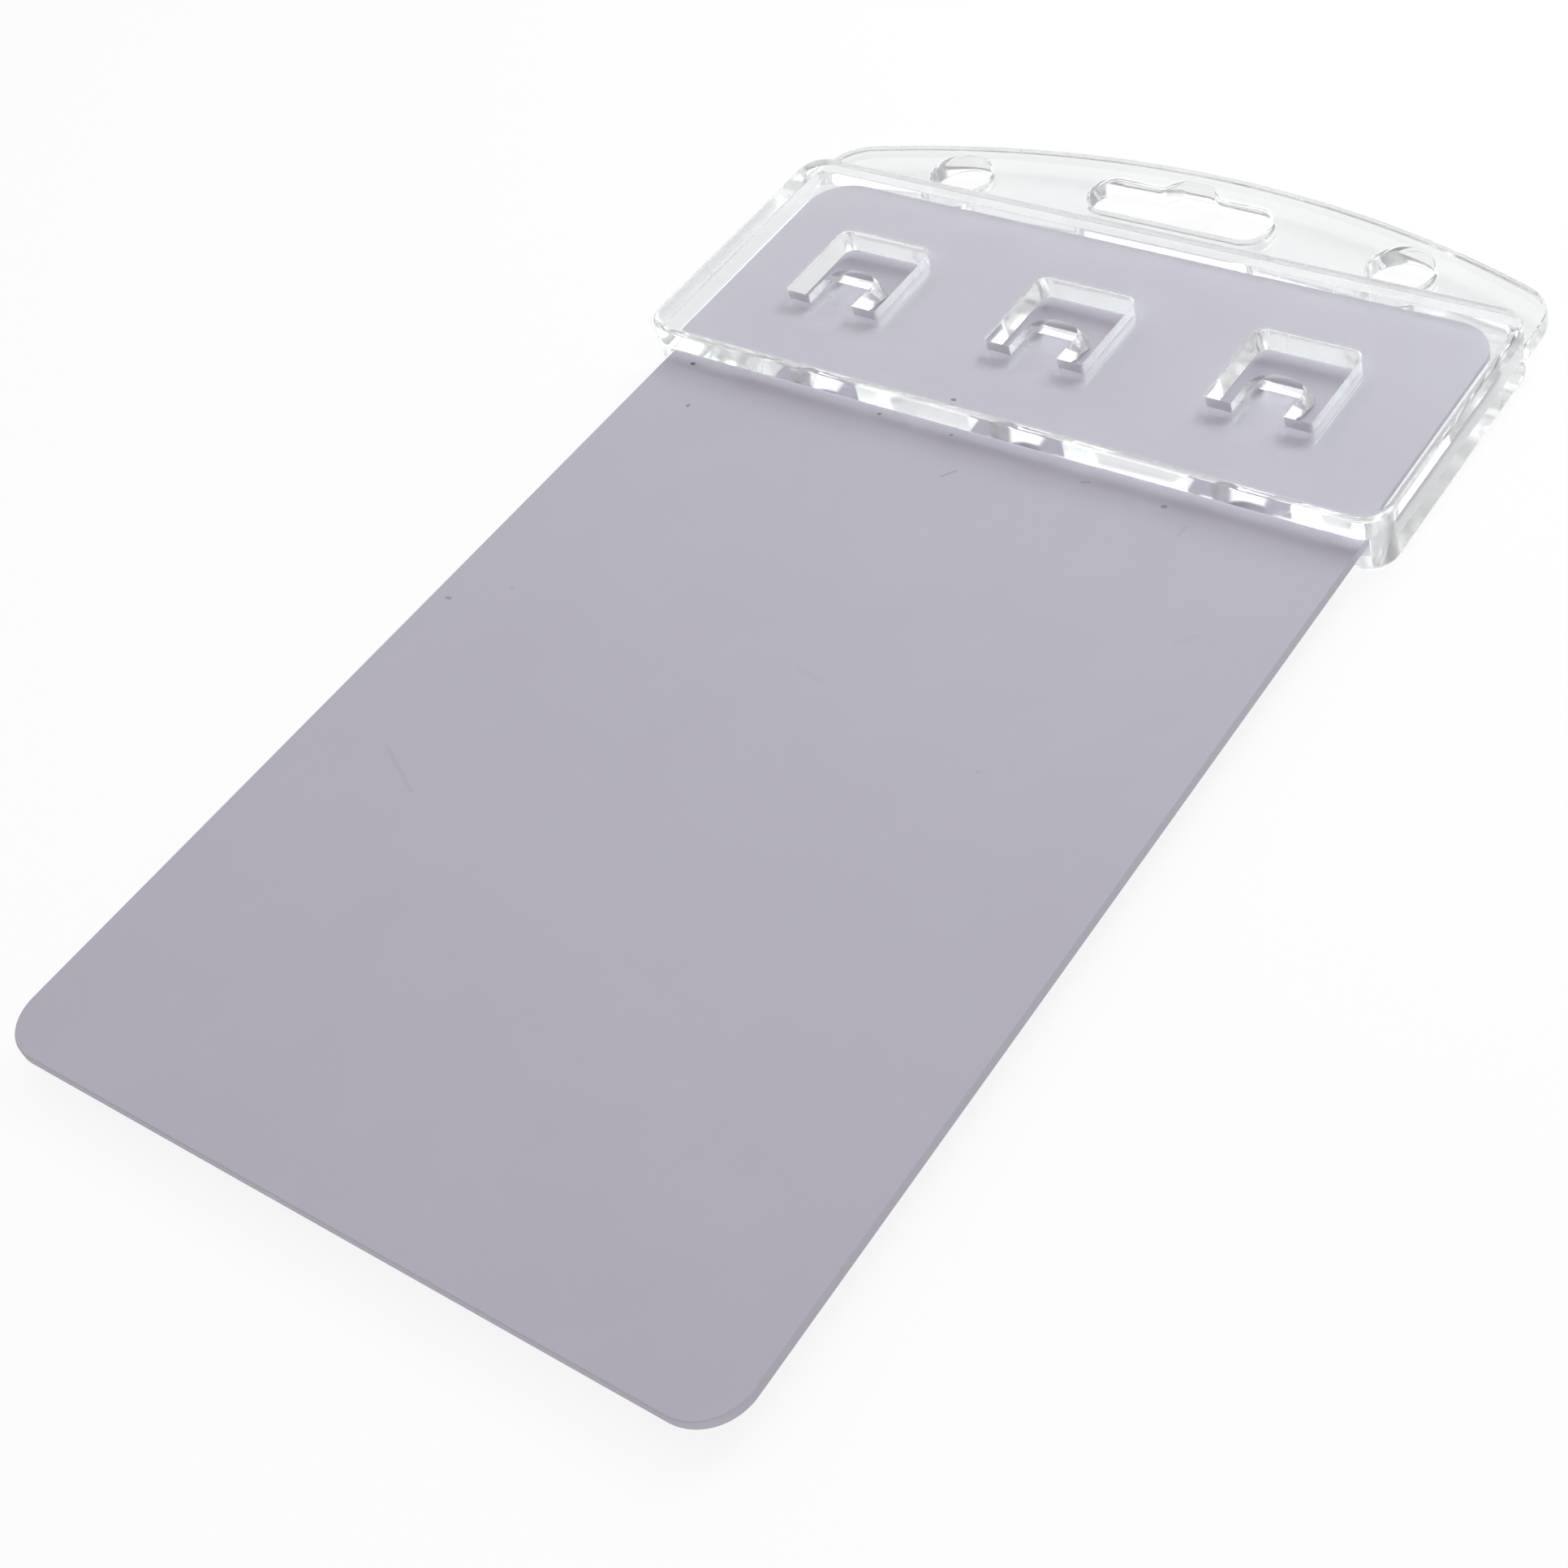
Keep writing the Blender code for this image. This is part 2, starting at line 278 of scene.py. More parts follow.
@dataclass(frozen=True)
class Slab:
    """Flat slab between two heights, with radii that round its lower and upper edges in a few steps."""

    name: str
    outline: list[Point]
    low: float
    high: float
    low_radius: float
    high_radius: float
    steps: int

    def levels(self, way: int) -> list[Level]:
        """Growth and height of each copy of the outline, from the lowest up.

        Args:
            way: -1 where the faces are smaller than the outline, 1 where they are larger.

        Returns:
            Pairs of growth and height.
        """
        lower, upper = (Solid.quarter_round(r, self.steps) for r in (self.low_radius, self.high_radius))
        rising = [(way * side, self.low + down) for side, down in lower]
        return rising + [(way * side, self.high - down) for side, down in upper[::-1]]

    def plate(self) -> Object:
        """The slab as a solid."""
        return Solid.stacked(self.name, self.outline, self.levels(-1))

    def cutter(self, overrun: float) -> Object:
        """Cutter that runs past both faces and flares at them, so that a hole's edges come out rounded."""
        ends = (self.low_radius, self.low - overrun), (self.high_radius, self.high + overrun)
        return Solid.stacked(self.name, self.outline, [ends[0], *self.levels(1), ends[1]])


class Nodes:
    """Short ways to add shader nodes to one tree and to join them."""

    def __init__(self, tree: NodeTree) -> None:
        """Keep the tree of the material, world or group that the nodes go into."""
        self.tree = tree

    def feed(self, socket: NodeSocket, value: Feed) -> None:
        """Join a socket to another, or set its value.

        Args:
            socket: the input to fill.
            value: an output to join to it, or the value to set.
        """
        if isinstance(value, NodeSocket):
            self.tree.links.new(value, socket)
        else:
            socket.default_value = value

    def add(self, kind: str, inputs: dict[str | int, Feed], **settings: str | float | bool) -> Node:
        """Add a node.

        Args:
            kind: the node's type, without its common prefix.
            inputs: what feeds its inputs, by name or by number.
            settings: its other settings.

        Returns:
            The new node.
        """
        node = self.tree.nodes.new("ShaderNode" + kind)
        for name, value in settings.items():
            setattr(node, name, value)
        for key, value in inputs.items():
            self.feed(node.inputs[key], value)
        return node

    def math(self, operation: str, *values: Feed) -> NodeSocket:
        """Result of a sum on numbers."""
        return self.add("Math", dict(enumerate(values)), operation=operation).outputs[0]

    def vector(self, operation: str, *values: Feed) -> NodeSocket:
        """Vector that a sum on vectors gives."""
        return self.add("VectorMath", dict(enumerate(values)), operation=operation).outputs["Vector"]

    def measure(self, operation: str, *values: Feed) -> NodeSocket:
        """Number that a sum on vectors gives."""
        return self.add("VectorMath", dict(enumerate(values)), operation=operation).outputs["Value"]

    def ramp(self, value: Feed, low: Feed, high: Feed, start: Feed, end: Feed) -> NodeSocket:
        """Smooth change from the start to the end while a value goes from low to high."""
        inputs = {"Value": value, "From Min": low, "From Max": high, "To Min": start, "To Max": end}
        return self.add("MapRange", inputs, interpolation_type="SMOOTHSTEP").outputs["Result"]

    def blend(self, share: Feed, first: Feed, second: Feed) -> NodeSocket:
        """Colour between two colours.

        Args:
            share: share of the second colour.
            first: the first colour.
            second: the second colour.

        Returns:
            The blended colour's socket.
        """
        node = self.add("Mix", {"Factor": share}, data_type="RGBA")
        self.feed(node.inputs[6], first)
        self.feed(node.inputs[7], second)
        return node.outputs[2]


class Effect(Enum):
    """Surface effects that the finishes share, each built as one node group."""

    WAVINESS = "waviness"
    MOTTLE = "mottle"
    HAIRLINES = "hairlines"
    STROKE = "stroke"


class Effects:
    """The shared node groups, each built once and placed in every finish that shows it."""

    NOISE_MIDDLE = 0.5
    MOTTLE_DETAIL = 3.0
    HAIRLINE_DETAIL = 2.0
    PATCH_SCALE = 0.37
    PATCH_EDGES = (0.52, 0.62)
    STROKE_CORE_SHARE = 0.4

    def __init__(self) -> None:
        """Build every group."""
        self.groups = {
            Effect.WAVINESS: self.build_waviness(),
            Effect.MOTTLE: self.build_mottle(),
            Effect.HAIRLINES: self.build_hairlines(),
            Effect.STROKE: self.build_stroke(),
        }

    @staticmethod
    def start(
        effect: Effect, inputs: dict[str, str], output: str
    ) -> tuple[Nodes, Node, Node]:
        """Start a node group with named inputs and one named output.

        Args:
            effect: the effect that the group makes.
            inputs: kind of each input, by name.
            output: name of the output.

        Returns:
            The group's nodes, its input node and its output node.
        """
        tree = bpy.data.node_groups.new(effect.value, "ShaderNodeTree")
        for name, kind in inputs.items():
            tree.interface.new_socket(name=name, in_out="INPUT", socket_type="NodeSocket" + kind)
        tree.interface.new_socket(name=output, in_out="OUTPUT", socket_type="NodeSocketFloat")
        return Nodes(tree), tree.nodes.new("NodeGroupInput"), tree.nodes.new("NodeGroupOutput")

    @staticmethod
    def build_waviness() -> NodeTree:
        """Height of a surface that swells and sinks softly, as a moulded face does.

        Returns:
            The new group.
        """
        kinds = {"Position": "Vector", "Wave Length": "Float", "Detail": "Float"}
        nodes, given, result = Effects.start(Effect.WAVINESS, kinds, "Height")
        scale = nodes.math("DIVIDE", 1.0, given.outputs["Wave Length"])
        inputs = {"Vector": given.outputs["Position"], "Scale": scale, "Detail": given.outputs["Detail"]}
        noise = nodes.add("TexNoise", inputs)
        nodes.feed(result.inputs["Height"], noise.outputs[0])
        return nodes.tree

    @staticmethod
    def build_mottle() -> NodeTree:
        """Share between two tones that changes softly in blotches with finer ones in them.

        Returns:
            The new group.
        """
        kinds = {"Position": "Vector", "Blotch Size": "Float", "Contrast": "Float"}
        nodes, given, result = Effects.start(Effect.MOTTLE, kinds, "Share")
        scale = nodes.math("DIVIDE", 1.0, given.outputs["Blotch Size"])
        inputs = {"Vector": given.outputs["Position"], "Scale": scale, "Detail": Effects.MOTTLE_DETAIL}
        noise = nodes.add("TexNoise", inputs)
        centred = nodes.math("SUBTRACT", noise.outputs[0], Effects.NOISE_MIDDLE)
        spread = nodes.math("MULTIPLY_ADD", centred, given.outputs["Contrast"], Effects.NOISE_MIDDLE)
        share = nodes.add("Clamp", {"Value": spread}).outputs[0]
        nodes.feed(result.inputs["Share"], share)
        return nodes.tree

    @staticmethod
    def build_hairlines() -> NodeTree:
        """Mask of long, fine scratches that run roughly one way and come and go.

        Returns:
            The new group.
        """
        kinds = {
            "Position": "Vector", "Direction": "Vector", "Line Length": "Float", "Spacing": "Float",
            "Fineness": "Float",
        }
        nodes, given, result = Effects.start(Effect.HAIRLINES, kinds, "Mask")
        place, way = given.outputs["Position"], given.outputs["Direction"]
        along = nodes.measure("DOT_PRODUCT", place, way)
        beside = nodes.measure("LENGTH", nodes.vector("CROSS_PRODUCT", place, way))
        side = nodes.math("DIVIDE", beside, given.outputs["Spacing"])
        course = nodes.math("DIVIDE", along, given.outputs["Line Length"])
        spot = nodes.add("CombineXYZ", {"X": side, "Y": course}).outputs[0]
        noise = nodes.add("TexNoise", {"Vector": spot, "Scale": 1.0, "Detail": Effects.HAIRLINE_DETAIL})
        off_line = nodes.math("ABSOLUTE", nodes.math("SUBTRACT", noise.outputs[0], Effects.NOISE_MIDDLE))
        line = nodes.ramp(off_line, 0.0, given.outputs["Fineness"], 1.0, 0.0)
        patch = nodes.add("TexNoise", {"Vector": spot, "Scale": Effects.PATCH_SCALE, "Detail": 0.0})
        present = nodes.ramp(patch.outputs[0], *Effects.PATCH_EDGES, 0.0, 1.0)
        nodes.feed(result.inputs["Mask"], nodes.math("MULTIPLY", line, present))
        return nodes.tree

    @staticmethod
    def build_stroke() -> NodeTree:
        """Mask of one speck or short scratch: a stroke from one point to another.

        Returns:
            The new group.
        """
        kinds = {"Position": "Vector", "Start": "Vector", "End": "Vector", "Half Width": "Float"}
        nodes, given, result = Effects.start(Effect.STROKE, kinds, "Mask")
        from_start = nodes.vector("SUBTRACT", given.outputs["Position"], given.outputs["Start"])
        whole = nodes.vector("SUBTRACT", given.outputs["End"], given.outputs["Start"])
        run = nodes.measure("DOT_PRODUCT", from_start, whole)
        course = nodes.math("DIVIDE", run, nodes.measure("DOT_PRODUCT", whole, whole))
        held = nodes.add("Clamp", {"Value": course}).outputs[0]
        shares = nodes.add("CombineXYZ", {"X": held, "Y": held, "Z": held}).outputs[0]
        nearest = nodes.vector("MULTIPLY", whole, shares)
        away = nodes.measure("LENGTH", nodes.vector("SUBTRACT", from_start, nearest))
        half = given.outputs["Half Width"]
        inner = nodes.math("MULTIPLY", half, Effects.STROKE_CORE_SHARE)
        nodes.feed(result.inputs["Mask"], nodes.ramp(away, inner, half, 1.0, 0.0))
        return nodes.tree

    def use(self, nodes: Nodes, effect: Effect, **values: Feed) -> NodeSocket:
        """Place an effect's group in a material.

        Args:
            nodes: the material's nodes.
            effect: the effect to place.
            values: what feeds the group's inputs, with low lines for the spaces in their names.

        Returns:
            The group's output.
        """
        inputs = {name.replace("_", " "): value for name, value in values.items()}
        node = nodes.add("Group", {}, node_tree=self.groups[effect])
        for name, value in inputs.items():
            nodes.feed(node.inputs[name], value)
        return node.outputs[0]


@dataclass(frozen=True)
class Mark:
    """Speck or short scratch, as a stroke between two points of a face seen from above."""

    start: Point
    end: Point
    half_width: float
    depth: float = 1.0


@dataclass(frozen=True)
class Finish:
    """Plastic with two tones that mottle, a slightly uneven face and fine scratches from use."""

    effects: Effects
    tone: Colour
    light_tone: Colour
    blotch_size: float
    blotch_contrast: float
    wave_length: float
    wave_height: float
    wave_detail: float
    scratch_length: float
    scratch_spacing: float
    scratch_fineness: float
    scratch_direction: Place
    transmission: float = 0.0
    ior: float = 1.5

    def colour(self, nodes: Nodes, place: NodeSocket, plain: NodeSocket) -> Feed:
        """Colour of the face, which is plain unless a finish has marks."""
        return plain

    def roughness(self, nodes: Nodes, mottle: NodeSocket, scratches: NodeSocket) -> Feed:
        """Roughness of the face, which every finish works out in its own way."""
        raise NotImplementedError

    def build(self, name: str) -> Material:
        """Make the material.

        Args:
            name: name of the material.

        Returns:
            The new material.
        """
        material = bpy.data.materials.new(name)
        material.use_nodes = True
        nodes = Nodes(material.node_tree)
        shader = material.node_tree.nodes["Principled BSDF"]
        place = nodes.add("TexCoord", {}).outputs["Object"]
        use = self.effects.use
        mottle = use(
            nodes, Effect.MOTTLE, Position=place, Blotch_Size=self.blotch_size, Contrast=self.blotch_contrast
        )
        scratches = use(
            nodes, Effect.HAIRLINES, Position=place, Direction=self.scratch_direction,
            Line_Length=self.scratch_length, Spacing=self.scratch_spacing, Fineness=self.scratch_fineness,
        )
        waves = use(
            nodes, Effect.WAVINESS, Position=place, Wave_Length=self.wave_length, Detail=self.wave_detail
        )
        bump = nodes.add("Bump", {"Height": waves, "Distance": self.wave_height, "Strength": 1.0})
        plain = nodes.blend(mottle, (*self.tone, 1), (*self.light_tone, 1))
        nodes.feed(shader.inputs["Base Color"], self.colour(nodes, place, plain))
        nodes.feed(shader.inputs["Roughness"], self.roughness(nodes, mottle, scratches))
        nodes.feed(shader.inputs["Normal"], bump.outputs[0])
        shader.inputs["Metallic"].default_value = 0
        shader.inputs["IOR"].default_value = self.ior
        shader.inputs["Transmission Weight"].default_value = self.transmission
        return material


@dataclass(frozen=True)
class ClearPlastic(Finish):
    """Clear, glossy moulded plastic whose walls are less polished than its faces."""

    tone: Colour = (0.96, 0.965, 0.98)
    light_tone: Colour = (0.98, 0.985, 0.995)
    blotch_size: float = 0.009
    blotch_contrast: float = 2.5
    wave_length: float = 0.0035
    wave_height: float = 0.0000012
    wave_detail: float = 1.0
    scratch_length: float = 0.03
    scratch_spacing: float = 0.0022
    scratch_fineness: float = 0.012
    scratch_direction: Place = (0.94, 0.34, 0.0)
    transmission: float = 1.0
    scratched_roughness: float = 0.16
    wall_roughness: float = 0.12
    wall_facing: float = 0.3
    face_facing: float = 0.9

    def roughness(self, nodes: Nodes, mottle: NodeSocket, scratches: NodeSocket) -> Feed:
        """Roughness that the scratches and the walls have, and the faces don't.

        Args:
            nodes: the material's nodes.
            mottle: share of the lighter tone; not used.
            scratches: mask of the scratches.

        Returns:
            The roughness's socket.
        """
        normal = nodes.add("TexCoord", {}).outputs["Normal"]
        facing = nodes.math("ABSOLUTE", nodes.add("SeparateXYZ", {0: normal}).outputs["Z"])
        wall = nodes.ramp(facing, self.wall_facing, self.face_facing, self.wall_roughness, 0.0)
        return nodes.math("MULTIPLY_ADD", scratches, self.scratched_roughness, wall)


@dataclass(frozen=True)
class SatinCard(Finish):
    """Plain grey-lavender card plastic with a satin face, a few specks of dust and short scratches."""

    tone: Colour = (0.434, 0.406, 0.485)
    light_tone: Colour = (0.451, 0.423, 0.504)
    speck_colour: Colour = (0.09, 0.085, 0.1)
    blotch_size: float = 0.006
    blotch_contrast: float = 2.0
    wave_length: float = 0.00018
    wave_height: float = 0.0000012
    wave_detail: float = 2.0
    scratch_length: float = 0.02
    scratch_spacing: float = 0.004
    scratch_fineness: float = 0.006
    scratch_direction: Place = (0.35, 0.93, 0.0)
    scratch_gloss: float = -0.12
    plain_roughness: float = 0.42
    rough_spread: float = 0.08
    face_height: float = 0.0
    marks: tuple[Mark, ...] = (
        Mark((-0.025400, -0.008466), (-0.025150, -0.008450), 0.0002, 0.38),
        Mark((-0.024365, 0.017089), (-0.024250, 0.017100), 0.0002),
        Mark((-0.021796, 0.013212), (-0.021760, 0.013290), 0.00016, 0.7),
        Mark((-0.003510, 0.019500), (-0.003330, 0.019505), 0.00018),
        Mark((0.014378, 0.016275), (0.014520, 0.016290), 0.0002, 0.55),
        Mark((-0.008243, 0.017288), (-0.008200, 0.017300), 0.00017, 0.8),
        Mark((-0.002350, 0.017223), (-0.002260, 0.017240), 0.00015, 0.6),
        Mark((-0.000627, 0.013535), (-0.000016, 0.014351), 0.00012, 0.3),
        Mark((0.008350, 0.016350), (0.008800, 0.016550), 0.00012, 0.3),
        Mark((0.016611, 0.014317), (0.016622, 0.015100), 0.00015, 0.12),
        Mark((0.021134, 0.006260), (0.022013, 0.007127), 0.0003, 0.05),
        Mark((-0.021760, -0.006000), (-0.021700, -0.005990), 0.0002, 0.15),
        Mark((0.000616, -0.004437), (0.002606, -0.004783), 0.0003, 0.04),
        Mark((0.015680, -0.007140), (0.015730, -0.007130), 0.00018, 0.15),
        Mark((-0.019750, -0.020439), (-0.015781, -0.022540), 0.00018, 0.08),
    )

    def colour(self, nodes: Nodes, place: NodeSocket, plain: NodeSocket) -> Feed:
        """Colour of the face with its specks and short scratches.

        Args:
            nodes: the material's nodes.
            place: the place on the card.
            plain: colour of the card without them.

        Returns:
            The colour's socket.
        """
        marked: Feed = 0.0
        for mark in self.marks:
            start, end = (*mark.start, self.face_height), (*mark.end, self.face_height)
            stroke = self.effects.use(
                nodes, Effect.STROKE, Position=place, Start=start, End=end, Half_Width=mark.half_width
            )
            marked = nodes.math("MAXIMUM", marked, nodes.math("MULTIPLY", stroke, mark.depth))
        return nodes.blend(marked, plain, (*self.speck_colour, 1))

    def roughness(self, nodes: Nodes, mottle: NodeSocket, scratches: NodeSocket) -> Feed:
        """Satin roughness that mottles, and is glossier in the scratches."""
        mottled = nodes.math("MULTIPLY_ADD", mottle, self.rough_spread, self.plain_roughness)
        return nodes.math("MULTIPLY_ADD", scratches, self.scratch_gloss, mottled)


@dataclass(frozen=True)
class BodySizes:
    """Sizes that the mouldings and the card share, with heights above the holder's back face."""

    card_width: float = 0.05398
    card_length: float = 0.0856
    card_thickness: float = 0.00076
    card_free_end: float = -0.0478
    inserted_length: float = 0.0202
    side_gap: float = 0.00076
    end_gap: float = 0.0002
    seat_gap: float = 0.0002
    rim_above_card: float = 0.0004
    corner_radius: float = 0.002
    side_wall: float = 0.001
    end_wall: float = 0.00085
    inner_corner_radius: float = 0.0006
    floor: float = 0.0013
    cover_thickness: float = 0.0017
    edge_radius: float = 0.0004
    overrun: float = 0.002
    corner_steps: int = 12
    edge_steps: int = 5

    @property
    def inner_half_width(self) -> float:
        """Half of the pocket's width."""
        return self.card_width / 2 + self.side_gap

    @property
    def half_width(self) -> float:
        """Half of the body's width."""
        return self.inner_half_width + self.side_wall

    @property
    def card_held_end(self) -> float:
        """Where the card ends in the pocket, along the length."""
        return self.card_free_end + self.card_length

    @property
    def front(self) -> float:
        """Where the body's open front lies, along the length."""
        return self.card_held_end - self.inserted_length

    @property
    def inner_end(self) -> float:
        """Where the pocket ends, along the length."""
        return self.card_held_end + self.end_gap

    @property
    def end(self) -> float:
        """Where the body ends, along the length."""
        return self.inner_end + self.end_wall

    @property
    def card_top(self) -> float:
        """Height of the card's face."""
        return self.floor + self.seat_gap + self.card_thickness

    @property
    def seam(self) -> float:
        """Height of the weld between the two mouldings."""
        return self.card_top + self.rim_above_card

    @property
    def top(self) -> float:
        """Height of the cover's face."""
        return self.seam + self.cover_thickness

    def outline(self) -> list[Point]:
        """Plan outline of the body."""
        low, high = (-self.half_width, self.front), (self.half_width, self.end)
        return Outline.rectangle(low, high, self.corner_radius, self.corner_radius, self.corner_steps)

    def pocket_outline(self) -> list[Point]:
        """Plan outline of the pocket, which runs out through the open front.

        Returns:
            The outline's points.
        """
        half, front = self.inner_half_width, self.front - self.overrun
        low, high = (-half, front), (half, self.inner_end)
        return Outline.rectangle(low, high, 0, self.inner_corner_radius, self.corner_steps)


@dataclass
class BackMoulding:
    """Rear moulding: a tray with walls on three sides, and the hang tab with its slot and holes."""

    body: BodySizes
    back_edge_radius: float = 0.0004
    tab_thickness: float = 0.0015
    tab_rise: float = 0.00895
    tab_arch_radius: float = 0.0775
    tab_corner_radius: float = 0.0033
    tab_edge_radius: float = 0.0003
    hole_edge_radius: float = 0.00025
    slot_length: float = 0.0143
    slot_width: float = 0.0035
    slot_end_radius: float = 0.0016
    slot_above_body: float = 0.00445
    notch_rise: float = 0.0011
    notch_top_width: float = 0.0022
    notch_base_width: float = 0.0046
    notch_corner_radius: float = 0.0006
    hole_diameter: float = 0.0045
    hole_spacing: float = 0.0355
    hole_above_body: float = 0.00315
    arch_steps: int = 64
    hole_steps: int = 48

    def tab_outline(self) -> list[Point]:
        """Plan outline of the hang tab: straight sides that turn through small corners into a wide arch.

        Returns:
            The outline's points.
        """
        half = self.body.half_width
        middle = self.body.end + self.tab_rise - self.tab_arch_radius
        corner_x = half - self.tab_corner_radius
        corner_y = middle + math.sqrt((self.tab_arch_radius - self.tab_corner_radius) ** 2 - corner_x**2)
        turn = math.degrees(math.atan2(corner_y - middle, corner_x))
        start = self.body.inner_end - self.body.corner_radius
        steps = self.body.corner_steps
        outline = [(-half, start), (half, start)]
        outline += Outline.arc((corner_x, corner_y), self.tab_corner_radius, 0, turn, steps)
        outline += Outline.arc((0, middle), self.tab_arch_radius, turn, 180 - turn, self.arch_steps)[1:-1]
        outline += Outline.arc((-corner_x, corner_y), self.tab_corner_radius, 180 - turn, 180, steps)
        return outline

    def slot_outline(self) -> list[Point]:
        """Plan outline of the strap slot, with the rounded notch in the middle of its upper edge.

        Returns:
            The outline's points.
        """
        half = self.slot_length / 2
        middle = self.body.end + self.slot_above_body
        low, high = middle - self.slot_width / 2, middle + self.slot_width / 2
        base, crest = self.notch_base_width / 2, self.notch_top_width / 2
        round_end, round_notch = self.slot_end_radius, self.notch_corner_radius
        corners = [
            (-half, low, round_end),
            (half, low, round_end),
            (half, high, round_end),
            (base, high, round_notch),
            (crest, high + self.notch_rise, round_notch),
            (-crest, high + self.notch_rise, round_notch),
            (-base, high, round_notch),
            (-half, high, round_end),
        ]
        return Outline.rounded(corners, self.body.corner_steps)

    def blank(self) -> Object:
        """Build the moulding as one closed solid.

        Returns:
            The new solid.
        """
        body = self.body
        steps = body.edge_steps
        piece = Slab("back_blank", body.outline(), 0, body.seam, self.back_edge_radius, 0, steps).plate()
        tab_back = body.seam - self.tab_thickness
        radius = self.tab_edge_radius
        tab = Slab("tab", self.tab_outline(), tab_back, body.seam, radius, radius, steps)
        Solid.change(piece, tab.plate(), Cut.JOIN)
        tray = Slab("tray", body.pocket_outline(), body.floor, body.seam + body.overrun, 0, 0, steps)
        Solid.change(piece, tray.plate(), Cut.REMOVE)
        openings = {"strap_slot": self.slot_outline()}
        for name, side in (("left_hole", -1), ("right_hole", 1)):
            middle = (side * self.hole_spacing / 2, body.end + self.hole_above_body)
            openings[name] = Outline.arc(middle, self.hole_diameter / 2, 0, 360, self.hole_steps)[:-1]
        radius = self.hole_edge_radius
        for name, outline in openings.items():
            hole = Slab(name, outline, tab_back, body.seam, radius, radius, steps)
            Solid.change(piece, hole.cutter(body.overrun), Cut.REMOVE)
        return piece


@dataclass
class GripTongues:
    """The three tongues that hang in the windows, as thick as the cover, with a nose under the tip."""

    body: BodySizes
    bodies: tuple[Body, ...] = (Body.LEFT_TONGUE, Body.MIDDLE_TONGUE, Body.RIGHT_TONGUE)
    nodes: tuple[str, ...] = ("grip_tongue_left", "grip_tongue_middle", "grip_tongue_right")
    pitch: float = 0.016831
    width: float = 0.0038
    length: float = 0.0046
    root_from_front: float = 0.00677
    side_slot: float = 0.00192
    end_slot: float = 0.00268
    window_edge_radius: float = 0.0001
    window_corner_radius: float = 0.0008
    window_foot_radius: float = 0.00015
    ramp_start: float = 0.0027
    nose_flat: float = 0.0003
    nose_behind_tip: float = 0.0006
    nose_tip_rise: float = 0.0004
    nose_radius: float = 0.0003
    nose_clearance: float = 0.00005
    tip_drop: float = 0.0003
    tip_lean: float = 0.00105
    tip_corner_radius: float = 0.0015
    top_edge_radius: float = 0.00012
    root_overlap: float = 0.0002
    flexing_steps: int = 12

    @property
    def root(self) -> float:
        """Where the tongues' roots lie, along the length."""
        return self.body.front + self.root_from_front

    @property
    def middles(self) -> list[float]:
        """X of each tongue's middle."""
        half = (len(self.bodies) - 1) / 2
        return [(index - half) * self.pitch for index in range(len(self.bodies))]

    def window(self, middle: float) -> Object:
        """Cutter for the window round one tongue, with its upper edge rounded.

        Args:
            middle: x of the tongue's middle.

        Returns:
            The new cutter.
        """
        body, half = self.body, self.width / 2 + self.side_slot
        outline = Outline.rectangle(
            (middle - half, self.root), (middle + half, self.root + self.length + self.end_slot),
            self.window_foot_radius, self.window_corner_radius, body.corner_steps,
        )
        name, radius = f"window_{middle:.3f}", self.window_edge_radius
        return Slab(name, outline, body.seam, body.top, 0, radius, body.edge_steps).cutter(body.overrun)

    def profile(self) -> list[Point]:
        """Side outline of a tongue, as distance from its root and height, which runs past its tip.

        Returns:
            The outline's points.
        """
        body = self.body
        low = body.card_top + self.nose_clearance
        nose_end = self.length - self.nose_behind_tip
        past_tip = self.length + self.nose_behind_tip
        slope = self.tip_drop / self.length
        corners = [
            (0, body.top, 0.0),
            (-self.root_overlap, body.top, 0.0),
            (-self.root_overlap, body.seam, 0.0),
            (self.ramp_start, body.seam, self.nose_radius),
            (nose_end - self.nose_flat, low, self.nose_radius),
            (nose_end, low, self.nose_radius),
            (past_tip, low + 2 * self.nose_tip_rise, 0.0),
            (past_tip, body.top - slope * past_tip, 0.0),
        ]
        return Outline.rounded(corners, body.edge_steps)

    def plan_guide(self, middle: float) -> Object:
        """Solid that trims a tongue in plan: rounded corners, and an end face that leans outwards.

        Args:
            middle: x of the tongue's middle.

        Returns:
            The new solid.
        """
        body, half = self.body, self.width / 2
        plan = Outline.rectangle(
            (middle - half, self.root - body.overrun), (middle + half, self.root + self.length),
            0, self.tip_corner_radius, body.corner_steps,
        )
        name, radius = f"guide_{middle:.3f}", self.top_edge_radius
        guide = Slab(name, plan, body.card_top, body.top, 0, radius, body.edge_steps).plate()
        tip_low = body.card_top + self.nose_clearance + self.nose_tip_rise
        lean = self.tip_lean / (body.top - tip_low)
        for vertex in guide.data.vertices:
            vertex.co.y -= lean * (vertex.co.z - tip_low)
        return guide

    def blank(self, middle: float) -> Object:
        """One tongue as a closed solid that reaches a little way into the cover's plate.

        Args:
            middle: x of the tongue's middle.

        Returns:
            The new solid.
        """
        reach = self.width / 2 + self.body.overrun
        item = Solid.stacked(f"tongue_{middle:.3f}", self.profile(), [(0, -reach), (0, reach)])
        for vertex in item.data.vertices:
            along, up, across = vertex.co
            vertex.co = (middle + across, self.root + along, up)
        Solid.change(item, self.plan_guide(middle), Cut.KEEP_SHARED)
        return item

